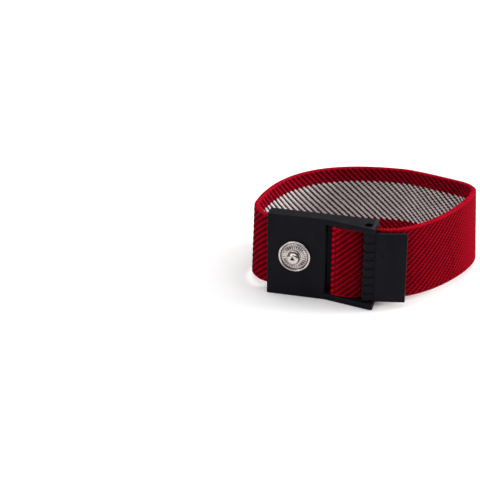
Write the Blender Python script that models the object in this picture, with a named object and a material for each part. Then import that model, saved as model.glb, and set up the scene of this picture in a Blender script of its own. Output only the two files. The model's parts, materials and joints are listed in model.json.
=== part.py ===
"""Adjustable anti-static wrist strap: an elastic band closed into a loop by a plastic cam buckle.

The buckle stands on the edge of its lower rail. X runs along the buckle, from the end where the band is
riveted to the end where it passes under the cam lever. -Y points away from the wrist, out of the buckle's
front, and +Z is across the band. The origin is on the underside of the lower rail, below the buckle's middle.
"""

import math

import bmesh
import bpy
from mathutils import Matrix, Vector

MM = 0.001
GAP = 0.3                       # air left between pieces that touch

# Buckle frame, in millimetres. "Depth" is measured outwards from the wrist side of the rails.
FRAME_LENGTH = 32.9
FRAME_HEIGHT = 26.2
RAIL_THICKNESS = 1.8
PLATE_LENGTH = 17.5
PLATE_FRONT = 4.5
PLATE_BACK = 2.1
RAIL_KINK = 17.8                # where the rails start to rise above the plate
RAIL_FRONT = 8.0                # depth of the rails at the lever's end
POCKET_END = 16.2               # the riveted end of the band lies in a pocket behind the plate
SILL_END = 18.9                 # a low sill closes the gap between the plate and the band's tail
CROSSBAR_START = 27.3
CROSSBAR_DEPTH = 1.15           # depth of the sill and of the crossbar
EDGE_BEVEL = 0.3

# Where the origin lies in the buckle's own length and depth.
ORIGIN_ALONG = FRAME_LENGTH / 2
ORIGIN_DEPTH = PLATE_FRONT / 2

# Cam lever
PIVOT_ALONG = 30.6
PIVOT_DEPTH = 5.1
PIVOT_HOLE_R = 1.25
TRUNNION_R = 1.15
CAM_R = 1.5
LEVER_GAP = 0.4                 # between the lever's ends and the rails
# The tab's section, from the pivot: distance along the buckle, distance towards the wrist.
TAB_SECTION = ((2.3, -0.75), (2.45, -1.05), (11.3, 0.8), (11.3, 2.0), (2.4, 0.4))
TOOTH_COUNT = 8
TOOTH_SLOT = 1.1
# What the slots between the teeth leave standing: the cam's core and the root of the tab.
SLOT_SECTION = ((-3.0, 3.0), (-3.0, -3.0), (2.1, -3.0), (2.1, -0.45), (0.6, -1.0), (-1.0, -1.0), (-1.0, 1.0),
                (1.2, 1.0), (1.2, 3.0))

# Snap fastener
SNAP_ALONG = 8.4
MID_HEIGHT = FRAME_HEIGHT / 2
FLANGE_R = 4.9
STUD_R = 1.95
STUD_HEIGHT = 3.3
CROWN_R = 1.15                  # the flat ring on top of the stud, around its dimple
SHOULDER = 1.1
DIMPLE_R = 0.5
DIMPLE = 0.6
RIVET_R = 1.2
RIVET_HEAD_R = 3.2
RIVET_HEAD = 0.7
RIVET_HOLE_R = RIVET_R + GAP

# Skin plate, behind the buckle
SKIN_START = 0.8
SKIN_END = 16.6
SKIN_THICKNESS = 0.6
SKIN_MARGIN = 1.4
SKIN_CORNER_R = 2.0

# Elastic band
BAND_WIDTH = 22.0               # inside the buckle; the free loop is slightly wider
BAND_THICKNESS = 1.7
BAND_START = 15.5               # the cut end, hidden between the plate and the skin plate
BAND_LEAVES_DEPTH = 1.75        # depth of the band's outer face at the riveted end
BAND_CAM_DEPTH = PIVOT_DEPTH - CAM_R - GAP      # depth of the band's outer face under the cam
HEM_END = 19.35
HEM_DEPTH = 5.4
HEM_SLOPE = 45.0                # how steeply the tail rises from the cam, in degrees
SEAM_ALONG = 21.0
THREAD_WIDTH = 0.5
THREAD_THICKNESS = 0.35

# The loop, seen from above: along, depth, direction of travel in degrees, handle before, handle after; then how
# far the lower and the upper edge stand above their level in the buckle, and how far the lower edge leans out.
LOOP_NODES = (
    (0.0, BAND_LEAVES_DEPTH, 180.0, 0.0, 2.8, 0.0, 0.0, 0.0),
    (-7.4, -7.6, -90.0, 3.9, 20.5, -0.7, 0.05, 0.7),
    (32.2, -48.9, 0.0, 31.2, 3.3, -1.6, -0.8, 1.9),
    (51.2, -43.2, 19.5, 6.5, 3.1, -1.7, -0.9, 1.1),
    (57.3, -34.2, 80.0, 2.0, 9.0, -0.1, 0.7, 1.4),
    (32.6, BAND_CAM_DEPTH, 180.0, 15.0, 0.0, 0.0, 0.0, 0.0),
)
POINTS_PER_ARC = 14

MATERIALS = {
    "buckle_black": ((0.012, 0.012, 0.016), 0.45, 0.0),
    "lever_black": ((0.010, 0.010, 0.014), 0.42, 0.0),
    "nickel": ((0.78, 0.76, 0.73), 0.22, 1.0),
    "stainless": ((0.62, 0.62, 0.62), 0.30, 1.0),
    "band_red": ((0.40, 0.006, 0.018), 0.85, 0.0),
    "thread_red": ((0.22, 0.004, 0.012), 0.80, 0.0),
}


def clear_scene():
    for old in list(bpy.data.objects):
        bpy.data.objects.remove(old, do_unlink=True)


def world(along, depth, height):
    """A point given by its place in the buckle, as a point of the part's frame in metres."""
    return Vector(((along - ORIGIN_ALONG) * MM, (ORIGIN_DEPTH - depth) * MM, height * MM))


def make_material(name):
    colour, roughness, metallic = MATERIALS[name]
    material = bpy.data.materials.new(name)
    material.use_nodes = True
    shader = material.node_tree.nodes["Principled BSDF"]
    shader.inputs["Base Color"].default_value = (*colour, 1.0)
    shader.inputs["Roughness"].default_value = roughness
    shader.inputs["Metallic"].default_value = metallic
    return material


def add_object(name, mesh_data, material_name=None):
    """Turns a bmesh into a named object with outward faces."""
    bmesh.ops.recalc_face_normals(mesh_data, faces=mesh_data.faces)
    mesh = bpy.data.meshes.new(name)
    mesh_data.to_mesh(mesh)
    mesh_data.free()
    obj = bpy.data.objects.new(name, mesh)
    bpy.context.collection.objects.link(obj)
    if material_name:
        mesh.materials.append(make_material(material_name))
    return obj


def extruded(outline, low, high):
    """A prism over an outline of (along, depth) points, between two heights."""
    solid = bmesh.new()
    base = [solid.verts.new(world(along, depth, low)) for along, depth in outline]
    face = solid.faces.new(base)
    raised = bmesh.ops.extrude_face_region(solid, geom=[face])
    top = [item for item in raised["geom"] if isinstance(item, bmesh.types.BMVert)]
    bmesh.ops.translate(solid, verts=top, vec=(0, 0, (high - low) * MM))
    return solid


def box_outline(start, end, inner, outer):
    return ((start, inner), (end, inner), (end, outer), (start, outer))


def turned(profile, along, height, segments):
    """A turned solid whose axis runs outwards through the buckle; the profile is (radius, depth) points."""
    solid = bmesh.new()
    points = [solid.verts.new(world(along, depth, height) + Vector((radius * MM, 0, 0)))
              for radius, depth in profile]
    edges = [solid.edges.new(pair) for pair in zip(points, points[1:])]
    bmesh.ops.spin(solid, geom=points + edges, cent=world(along, 0, height), axis=(0, 1, 0),
                   angle=2 * math.pi, steps=segments, use_merge=True)
    bmesh.ops.remove_doubles(solid, verts=solid.verts, dist=0.00001)
    return solid


def upright_cylinder(along, depth, low, high, radius, segments):
    centre = world(along, depth, (low + high) / 2)
    solid = bmesh.new()
    bmesh.ops.create_cone(solid, cap_ends=True, segments=segments, radius1=radius * MM, radius2=radius * MM,
                          depth=(high - low) * MM, matrix=Matrix.Translation(centre))
    return solid


def outward_hole(name, radius, inner, outer):
    """A round cutter along the snap's axis."""
    profile = ((0.0, outer), (radius, outer), (radius, inner), (0.0, inner))
    return make_cutter(name, turned(profile, SNAP_ALONG, MID_HEIGHT, 32))


def make_cutter(name, solid):
    cutter = add_object(name, solid)
    cutter.hide_render = True
    cutter.display_type = "WIRE"
    return cutter


def combine(target, tool, operation):
    modifier = target.modifiers.new(tool.name, "BOOLEAN")
    modifier.object = tool
    modifier.operation = operation
    modifier.solver = "EXACT"


def bevel(target, width, segments):
    modifier = target.modifiers.new("rounded_edges", "BEVEL")
    modifier.width = width * MM
    modifier.segments = segments
    modifier.limit_method = "ANGLE"
    modifier.angle_limit = math.radians(50)


def make_buckle_frame():
    """One moulding: the plate and its pocket, two rails, and a crossbar that the band is gripped against."""
    outline = ((0, 0), (FRAME_LENGTH, 0), (FRAME_LENGTH, RAIL_FRONT), (RAIL_KINK, PLATE_FRONT), (0, PLATE_FRONT))
    frame = add_object("buckle_frame", extruded(outline, 0, FRAME_HEIGHT), "buckle_black")
    bevel(frame, EDGE_BEVEL, 2)
    beyond = 3 * PLATE_FRONT
    low, high = RAIL_THICKNESS, FRAME_HEIGHT - RAIL_THICKNESS
    pocket = extruded(box_outline(-beyond, POCKET_END, -beyond, PLATE_BACK), low, high)
    combine(frame, make_cutter("cutter_pocket", pocket), "DIFFERENCE")
    opening = (
        (SILL_END, -beyond), (CROSSBAR_START, -beyond), (CROSSBAR_START, CROSSBAR_DEPTH),
        (FRAME_LENGTH + beyond, CROSSBAR_DEPTH), (FRAME_LENGTH + beyond, beyond),
        (PLATE_LENGTH, beyond), (PLATE_LENGTH, CROSSBAR_DEPTH), (SILL_END, CROSSBAR_DEPTH),
    )
    combine(frame, make_cutter("cutter_window", extruded(opening, low, high)), "DIFFERENCE")
    pivots = upright_cylinder(PIVOT_ALONG, PIVOT_DEPTH, -1, FRAME_HEIGHT + 1, PIVOT_HOLE_R, 32)
    combine(frame, make_cutter("cutter_pivot_holes", pivots), "DIFFERENCE")
    combine(frame, outward_hole("cutter_frame_rivet", RIVET_HOLE_R + 0.1, 0.5, PLATE_FRONT + 1), "DIFFERENCE")


def around_pivot(section):
    """A section given from the pivot, as (along, depth) points."""
    return [(PIVOT_ALONG + x, PIVOT_DEPTH - y) for x, y in section]


def lever_section():
    """The lever's section from the pivot: a round cam that runs out into a flat finger tab."""
    first, last, count = 50, 265, 19
    angles = [math.radians(first + (last - first) * step / (count - 1)) for step in range(count)]
    return [(CAM_R * math.cos(angle), CAM_R * math.sin(angle)) for angle in angles] + list(TAB_SECTION)


def tooth_slots(low, pitch):
    """Cutters for the slots between the cam's teeth, which run round it from the band's side to the tab."""
    slots = bmesh.new()
    for index in range(1, TOOTH_COUNT):
        middle = low + pitch * index
        slot = extruded(around_pivot(SLOT_SECTION), middle - TOOTH_SLOT / 2, middle + TOOTH_SLOT / 2)
        mesh = bpy.data.meshes.new("slot")
        bmesh.ops.recalc_face_normals(slot, faces=slot.faces)
        slot.to_mesh(mesh)
        slot.free()
        slots.from_mesh(mesh)
        bpy.data.meshes.remove(mesh)
    return slots


def make_cam_lever():
    """The toothed lever, with a trunnion at each end that turns in the rails."""
    low = RAIL_THICKNESS + LEVER_GAP
    high = FRAME_HEIGHT - RAIL_THICKNESS - LEVER_GAP
    outline = around_pivot(lever_section())
    lever = add_object("cam_lever", extruded(outline, low, high), "lever_black")
    pivot = world(PIVOT_ALONG, PIVOT_DEPTH, MID_HEIGHT)
    lever.data.transform(Matrix.Translation(-pivot))
    lever.location = pivot
    recess = 0.35
    shaft = upright_cylinder(PIVOT_ALONG, PIVOT_DEPTH, recess, FRAME_HEIGHT - recess, TRUNNION_R, 32)
    combine(lever, make_cutter("trunnions", shaft), "UNION")
    slots = tooth_slots(low, (high - low) / TOOTH_COUNT)
    combine(lever, make_cutter("cutter_tooth_slots", slots), "DIFFERENCE")


def make_snap_stud():
    """The male half of a snap fastener: a flange with a rolled rim, and a stud with a waist."""
    base = PLATE_FRONT + GAP
    rim = [(FLANGE_R - 0.5 + 0.5 * math.sin(a), 0.5 + 0.5 * math.cos(a))
           for a in (math.radians(-60 + 30 * step) for step in range(9))]
    shoulder = [(CROWN_R + (STUD_R - CROWN_R) * math.sin(a), STUD_HEIGHT - SHOULDER * (1 - math.cos(a)))
                for a in (math.radians(22.5 * step) for step in range(5))]
    profile = [(0.0, STUD_HEIGHT - DIMPLE), (DIMPLE_R - 0.1, STUD_HEIGHT - DIMPLE), (DIMPLE_R, STUD_HEIGHT)]
    profile += shoulder
    profile += [(1.65, 1.05), (2.5, 0.75), (3.5, 0.55), (4.0, 0.35)]
    profile += rim
    profile += [(FLANGE_R - 0.6, 0.0), (RIVET_HOLE_R, 0.0), (RIVET_HOLE_R, 2.0), (0.0, 2.0)]
    outline = [(radius, base + height) for radius, height in profile]
    add_object("snap_stud", turned(outline, SNAP_ALONG, MID_HEIGHT, 40), "nickel")


def make_snap_rivet():
    """Holds the layers together: its head bears on the skin plate and its shank ends inside the stud."""
    head = -SKIN_THICKNESS - 2 * GAP
    tip = PLATE_FRONT + GAP + 2.0 - GAP
    profile = ((0.0, tip), (RIVET_R - 0.3, tip), (RIVET_R, tip - 0.3), (RIVET_R, head), (RIVET_HEAD_R, head),
               (RIVET_HEAD_R - 0.1, head - 0.35), (RIVET_HEAD_R - 0.7, head - RIVET_HEAD), (0.0, head - RIVET_HEAD))
    add_object("snap_rivet", turned(profile, SNAP_ALONG, MID_HEIGHT, 32), "nickel")


def make_skin_plate():
    """Stainless plate on the wrist side of the buckle."""
    low, high = SKIN_MARGIN, FRAME_HEIGHT - SKIN_MARGIN
    left, right = SKIN_START + SKIN_CORNER_R, SKIN_END - SKIN_CORNER_R
    bottom, top = low + SKIN_CORNER_R, high - SKIN_CORNER_R
    corners = ((right, top, 0), (left, top, 90), (left, bottom, 180), (right, bottom, 270))
    solid = bmesh.new()
    rim = []
    for along, height, start in corners:
        for step in range(6):
            angle = math.radians(start + 18 * step)
            x = along + SKIN_CORNER_R * math.cos(angle)
            z = height + SKIN_CORNER_R * math.sin(angle)
            rim.append(solid.verts.new(world(x, -GAP, z)))
    face = solid.faces.new(rim)
    raised = bmesh.ops.extrude_face_region(solid, geom=[face])
    back = [item for item in raised["geom"] if isinstance(item, bmesh.types.BMVert)]
    bmesh.ops.translate(solid, verts=back, vec=(0, SKIN_THICKNESS * MM, 0))
    plate = add_object("skin_plate", solid, "stainless")
    combine(plate, outward_hole("cutter_skin_rivet", RIVET_HOLE_R, -2.0, 0.5), "DIFFERENCE")


def bezier(start, start_handle, end_handle, end, t):
    s = 1 - t
    return s**3 * start + 3 * s * s * t * start_handle + 3 * s * t * t * end_handle + t**3 * end


def loop_points():
    """The band's outer face in plan, from where it leaves the plate, round the wrist, to the cam.

    With each point come its lower edge's and its upper edge's offset in height, and the lower edge's lean.
    """
    points = []
    for node, following in zip(LOOP_NODES, LOOP_NODES[1:]):
        start, end = Vector(node[:2]), Vector(following[:2])
        heading = Vector((math.cos(math.radians(node[2])), math.sin(math.radians(node[2]))))
        arriving = Vector((math.cos(math.radians(following[2])), math.sin(math.radians(following[2]))))
        for step in range(POINTS_PER_ARC):
            t = step / POINTS_PER_ARC
            ease = t * t * (3 - 2 * t)
            point = bezier(start, start + heading * node[4], end - arriving * following[3], end, t)
            points.append((point, *(a + (b - a) * ease for a, b in zip(node[5:], following[5:]))))
    points.append((Vector(LOOP_NODES[-1][:2]), 0.0, 0.0, 0.0))
    return points


def tail_points():
    """The tail's outer face in plan: round the cam, up to the hem, and round the hem's fold."""
    slope = math.radians(HEM_SLOPE)
    near = CAM_R + GAP
    far = (HEM_DEPTH - BAND_CAM_DEPTH) / (1 - math.cos(slope)) - near
    rise_end = PIVOT_ALONG - (near + far) * math.sin(slope)
    steps = 5
    angles = [slope * step / steps for step in range(steps + 1)]
    points = [(PIVOT_ALONG - near * math.sin(a), PIVOT_DEPTH - near * math.cos(a)) for a in angles]
    points += [(rise_end + far * math.sin(a), HEM_DEPTH - far * (1 - math.cos(a))) for a in reversed(angles[:-1])]
    fold_r = (HEM_DEPTH - BAND_CAM_DEPTH + BAND_THICKNESS) / 2
    for step in range(4):
        angle = math.radians(90 * step / 4)
        points.append((HEM_END + fold_r * (1 - math.sin(angle)), HEM_DEPTH - fold_r * (1 - math.cos(angle))))
    return [Vector(point) for point in points], HEM_DEPTH - fold_r


def band_rows():
    """Outer point, inner point, lower edge's and upper edge's offset, and lean, from the start to the tail."""
    rows = [(Vector((BAND_START * (4 - step) / 4, BAND_LEAVES_DEPTH)), 0.0, 0.0, 0.0) for step in range(4)]
    rows += loop_points()
    faces = []
    for index, (point, lower, upper, lean) in enumerate(rows):
        before = rows[max(index - 1, 0)][0]
        after = rows[min(index + 1, len(rows) - 1)][0]
        travel = (after - before).normalized()
        faces.append((point, point + Vector((travel.y, -travel.x)) * -BAND_THICKNESS, lower, upper, lean))
    tail, fold_level = tail_points()
    floor = BAND_CAM_DEPTH - BAND_THICKNESS
    for point in tail:
        under = floor
        if point.x < HEM_END + fold_level - floor:
            under = max(floor, 2 * fold_level - point.y)
        faces.append((point, Vector((point.x, under)), 0.0, 0.0, 0.0))
    tip = Vector((HEM_END, fold_level))
    faces.append((tip + Vector((0, 0.05)), tip - Vector((0, 0.05)), 0.0, 0.0, 0.0))
    return faces


def make_elastic_band():
    """One closed ribbon, doubled where its tail is folded under into a hem."""
    low = MID_HEIGHT - BAND_WIDTH / 2
    high = MID_HEIGHT + BAND_WIDTH / 2
    solid = bmesh.new()
    rows = []
    for outer, inner, lower, upper, lean in band_rows():
        outwards = (outer - inner).normalized() * lean / 2
        corners = ((outer + outwards, low + lower), (outer - outwards, high + upper),
                   (inner - outwards, high + upper), (inner + outwards, low + lower))
        rows.append([solid.verts.new(world(point.x, point.y, height)) for point, height in corners])
    for row, following in zip(rows, rows[1:]):
        for side in range(4):
            nxt = (side + 1) % 4
            solid.faces.new((row[side], row[nxt], following[nxt], following[side]))
    solid.faces.new(rows[0])
    solid.faces.new(reversed(rows[-1]))
    band = add_object("elastic_band", solid, "band_red")
    combine(band, outward_hole("cutter_band_rivet", RIVET_HOLE_R, -0.5, 2.0), "DIFFERENCE")


def make_hem_thread():
    """The seam that holds the folded hem, drawn as the line of thread on its outer face."""
    inset = 2.0
    low = MID_HEIGHT - BAND_WIDTH / 2 + inset
    high = MID_HEIGHT + BAND_WIDTH / 2 - inset
    inner = HEM_DEPTH + GAP
    start, end = SEAM_ALONG - THREAD_WIDTH / 2, SEAM_ALONG + THREAD_WIDTH / 2
    outline = box_outline(start, end, inner, inner + THREAD_THICKNESS)
    add_object("hem_thread", extruded(outline, low, high), "thread_red")


def main():
    clear_scene()
    make_buckle_frame()
    make_cam_lever()
    make_snap_stud()
    make_snap_rivet()
    make_skin_plate()
    make_elastic_band()
    make_hem_thread()


main()
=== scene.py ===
import json
import math

import bmesh
import bpy
import numpy as np
from mathutils import Matrix, Vector


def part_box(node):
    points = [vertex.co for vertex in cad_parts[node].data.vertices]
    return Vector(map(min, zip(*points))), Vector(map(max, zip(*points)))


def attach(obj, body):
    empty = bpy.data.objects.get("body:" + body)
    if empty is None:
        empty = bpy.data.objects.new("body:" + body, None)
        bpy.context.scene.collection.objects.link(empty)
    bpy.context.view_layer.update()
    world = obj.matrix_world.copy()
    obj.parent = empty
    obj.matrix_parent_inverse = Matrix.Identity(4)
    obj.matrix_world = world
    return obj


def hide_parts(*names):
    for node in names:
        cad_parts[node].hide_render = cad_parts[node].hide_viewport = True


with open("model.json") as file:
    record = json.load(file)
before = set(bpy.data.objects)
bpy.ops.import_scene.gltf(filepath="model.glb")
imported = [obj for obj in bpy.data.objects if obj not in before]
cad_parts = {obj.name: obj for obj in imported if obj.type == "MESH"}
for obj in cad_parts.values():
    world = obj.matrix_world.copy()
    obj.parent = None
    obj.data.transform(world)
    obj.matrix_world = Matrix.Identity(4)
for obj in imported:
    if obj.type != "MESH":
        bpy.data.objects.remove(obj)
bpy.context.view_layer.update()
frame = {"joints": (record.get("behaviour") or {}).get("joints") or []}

MM = 0.001

# The buckle's own directions: along its length from the riveted end, depth outwards from the wrist, height.
FRAME_LOW, FRAME_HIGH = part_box("buckle_frame")
STUD_LOW, STUD_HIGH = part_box("snap_stud")
RIVET_LOW, RIVET_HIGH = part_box("snap_rivet")
SKIN_LOW, SKIN_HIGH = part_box("skin_plate")
HINGE = Vector(frame["joints"][0]["pos_m"])


def place(along, depth, height):
    """A point of the row frame, in metres, from a place in the buckle in millimetres."""
    return Vector((FRAME_LOW.x + along * MM, FRAME_HIGH.y - depth * MM, FRAME_LOW.z + height * MM))


def along_of(x):
    return (x - FRAME_LOW.x) / MM


def depth_of(y):
    return (FRAME_HIGH.y - y) / MM


def height_of(z):
    return (z - FRAME_LOW.z) / MM


FRAME_LENGTH = along_of(FRAME_HIGH.x)
FRAME_HEIGHT = height_of(FRAME_HIGH.z)
MID_HEIGHT = FRAME_HEIGHT / 2
RAIL_FRONT = depth_of(FRAME_LOW.y)
SNAP_ALONG = along_of((STUD_LOW.x + STUD_HIGH.x) / 2)
PIVOT_ALONG = along_of(HINGE.x)
PIVOT_DEPTH = depth_of(HINGE.y)

# Buckle moulding, in millimetres: as in the CAD, but with a sill that is 0.7 mm longer
RAIL_THICKNESS = 1.8
PLATE_LENGTH = 17.5
PLATE_FRONT = 4.5
PLATE_BACK = 2.1
RAIL_KINK = 17.8
POCKET_END = 16.2
SILL_END = 19.6
CROSSBAR_START = 27.3
CROSSBAR_DEPTH = 1.15
EDGE_ROUND = 0.28
RAIL_CORNER_R = 0.5
PIVOT_HOLE_R = 1.25
FRAME_RIVET_HOLE_R = 1.6

# Cam lever: sections are given from the pivot, along the buckle and towards the wrist
CAM_R = 1.5
LEVER_GAP = 0.4                 # between the lever's ends and the rails
TAB_SECTION = ((2.3, -0.75), (2.45, -1.05), (11.3, 0.8), (11.3, 2.0), (2.4, 0.4))
TOOTH_COUNT = 8
TOOTH_SLOT = 1.1
SLOT_SECTION = ((-3.0, 3.0), (-3.0, -3.0), (2.1, -3.0), (2.1, -0.45), (0.6, -1.0), (-1.0, -1.0),
                (-1.0, 1.0), (1.2, 1.0), (1.2, 3.0))
LEVER_ROUND = 0.14
TRUNNION_R = 1.15
TRUNNION_RECESS = 1.1           # from the buckle's edges to the trunnions' ends
GATE_ALONG = 4.8                # the gate mark on the tab, from the pivot
GATE_HEIGHT = 17.1
GATE_LEVEL = 0.56
GATE_DEPTH = 0.12
GATE_R = 0.5

# Snap stud: seated on the plate, slightly off its rivet's centre
STUD_ALONG = SNAP_ALONG + 0.15
STUD_LEVEL = MID_HEIGHT + 0.25
STUD_SEAT = 0.02                # air under the flange
STUD_DROP = 0.5                 # from the CAD stud's top down to this one's
STUD_R = 1.95
CROWN_R = 1.1                   # flat top of the head
CROWN_ROWS = 23
FLUTES = 30
FLUTES_START = 2.3
FLUTES_WIDTH = 1.6
FLUTES_TOP = 0.78
FLUTES_FALL = 0.22
FLUTE_HEIGHT = 0.15
FLANGE_R = 4.9
RIM_R = 0.36
PIT_R = 0.42
PIT_LIFT = 0.25
PIT_WALL = 0.16
PIT_DEPTH = 0.5
SOCKET_R = 1.5                  # pocket for the rivet's tip
SOCKET_DEPTH = 2.1
SEGMENTS = 240

# Rivet and skin plate
RIVET_R = 1.2
RIVET_TIP_R = 0.9
RIVET_HEAD = 0.7
SKIN_CORNER_R = 2.0
SKIN_HOLE_R = 1.5

# Elastic band. The loop has the CAD's plan, but its edges are set to the photograph's. Each node has its
# place along and in depth, the direction of travel in degrees, the handle before and after, the offsets of
# the lower and the upper edge, and how far the wall leans.
BAND_WIDTH = 22.2
BAND_THICKNESS = 1.7
BAND_START = 15.5
BAND_LEAVES_DEPTH = 1.75
BAND_CAM_DEPTH = 3.3
HEM_END = 19.35
HEM_DEPTH = 5.4
HEM_SLOPE = 45.0
HEM_RETURN = 24.2               # where the part folded under the hem ends
FOLD_AIR = 0.1                  # from the fold's centre to the face inside it
SEAM_ALONG = 21.0
SEAM_DIP = 0.14                 # how far the seam pulls the hem in
SEAM_REACH = 0.35
STITCHES = 10
HOLE_PITCH = 1.85
HOLE_START = 3.1                # half a pitch below the lowest needle hole
THREAD_R = 0.13
THREAD_LEVEL = HEM_DEPTH - 0.30
LOOP_NODES = (
    (0.0, BAND_LEAVES_DEPTH, 180.0, 0.0, 2.8, 0.0, 0.0, 0.0),
    (-7.4, -7.6, -90.0, 3.9, 20.5, -0.6, 0.0, 0.7),
    (32.2, -48.9, 0.0, 31.2, 3.3, -1.5, -0.7, 1.9),
    (51.2, -43.2, 19.5, 6.5, 3.1, -1.6, -0.75, 1.1),
    (57.3, -34.2, 80.0, 2.0, 9.0, -0.6, 0.6, 1.3),
    (32.6, BAND_CAM_DEPTH, 180.0, 15.0, 0.0, 0.0, 0.0, 0.0),
)

# Weave
SAMPLE_STEP = 0.25              # between the mesh's columns, along the band
ROW_STEP = 0.5                  # between its rows, across the band
RIB_RISE = 1.87                 # from rib to rib, measured across the band
RIB_HEIGHT = 0.22               # outer side
WRIST_RIB_HEIGHT = 0.32         # wrist side
SELVEDGE = 0.5                  # rounded edge, where the ribs die out
STRIPE_HALF = 6.3               # half the width of the conductive stripe
STRIPE_TOOTH = 0.35             # how far the ribs shift the stripe's edge
STRIPE_BLUR = 0.12
TAIL_SPACING = 2.05
FOLD_RIBS = 0.55                # how high the ribs stand on the pressed fold
BEND_SHARES = (0.69, 0.79)      # shares of the loop's length between which its tightest bend lies
# How far apart the diagonal ribs are along the loop: share of the loop's length, millimetres
RIB_SPACING = ((0.0, 2.3), (0.17, 2.3), (0.28, 1.95), (0.45, 1.95), (0.58, 1.98), (0.64, 2.2), (0.72, 2.0),
               (0.80, 2.05), (0.90, 2.2), (1.0, 2.3))

# Relief of the weave that colours it: 0 in the gaps between ribs, 1 on them
WRIST_RIDGE = 0.40
OUTER_RIDGE = 0.36
YARNS_PER_RIB = 1.5
WRIST_YARN = 0.20
OUTER_YARN = 0.15
# Closing the ribs round the right bend also paints it brighter: painted highlight
BEND_CLOSES_BRIGHTER = 0.62              # how far the outer ribs close up round the bend
BEND_BRIGHT_LEVEL = 0.80               # the even relief they close up to
SELVEDGE_LOOPS = 2.3            # loops of the edge to each rib
LOOP_CONTRAST = 0.22
# Their low ends paint the gaps between the ribs dark: painted shade in the weave's recesses
OUTER_RED_STOPS = ((0.05, (0.032, 0.0002, 0.0010)), (0.32, (0.090, 0.0005, 0.0034)),
                   (0.62, (0.190, 0.0010, 0.0064)), (1.0, (0.28, 0.0015, 0.0092)))
WRIST_RED_STOPS = ((0.05, (0.030, 0.0003, 0.0014)), (0.36, (0.100, 0.0008, 0.0046)),
                   (0.62, (0.24, 0.0016, 0.0115)), (1.0, (0.38, 0.0026, 0.0180)))
STRIPE_STOPS = ((0.05, (0.014, 0.006, 0.007)), (0.34, (0.070, 0.040, 0.042)),
                (0.56, (0.47, 0.41, 0.415)), (1.0, (0.70, 0.635, 0.63)))
SELVEDGE_STOPS = ((0.25, (0.15, 0.0012, 0.006)), (0.75, (0.42, 0.0032, 0.0155)))

# Painted light on the hem: a painted highlight along the fold, painted shade in the needle holes
# and painted shade deepening towards the cam
FOLD_PAINTED_HIGHLIGHT = 1.75
HOLE_PAINTED_SHADE = 0.30
CAM_PAINTED_SHADE = 0.62
HOLE_HALF_WIDTH = 0.38
HOLE_HALF_HEIGHT = 0.42

# Linear colours of the other materials
PLASTIC_BLACK = (0.0048, 0.0045, 0.0070)
# Paler plastic for the rounded edges of the frame and the lever: painted highlight
FRAME_EDGE_HIGHLIGHT = (0.014, 0.015, 0.018)
# Paler plastic for the frame's top faces: painted light from above
RAIL_TOP_PAINTED_LIGHT = (0.0085, 0.0085, 0.0105)
LEVER_EDGE_HIGHLIGHT = (0.020, 0.026, 0.027)
# How much paler the patches of painted glints are
GLINT_GAIN = 3.2
NICKEL_CLEAN = (0.43, 0.39, 0.38)
NICKEL_BRIGHT = (0.56, 0.51, 0.50)
# Dark nickel for the crown's pit: painted dark reflection
PIT_REFLECTION_DARK = (0.030, 0.024, 0.024)
PIT_REFLECTION_LIGHT = (0.075, 0.06, 0.06)
# Painted shade for the stud's recesses
FLUTE_SHADE_COLOUR = (0.055, 0.045, 0.045, 1.0)
THREAD_TWIST = 0.28             # length of one turn of the thread

# Studio
WORLD_STRENGTH = 0.18
LAMP_TARGET = (0.02, 0.02, 0.012)
# Name, place in metres, diameter in metres, power in watts
LAMPS = (
    ("overhead_lamp", (0.0, 0.1, 1.3), 2.6, 30.0),
    ("side_lamp", (1.15, 0.50, 0.5), 0.6, 22.0),
    ("front_lamp", (-0.6, -0.9, 0.6), 0.5, 3.0),
)
FLOOR_HALF = 6.0
FLOOR_DROP = 0.00002
FLOOR_WHITE = (0.93, 0.93, 0.93, 1.0)


# ---------------------------------------------------------------- node helpers

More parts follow.
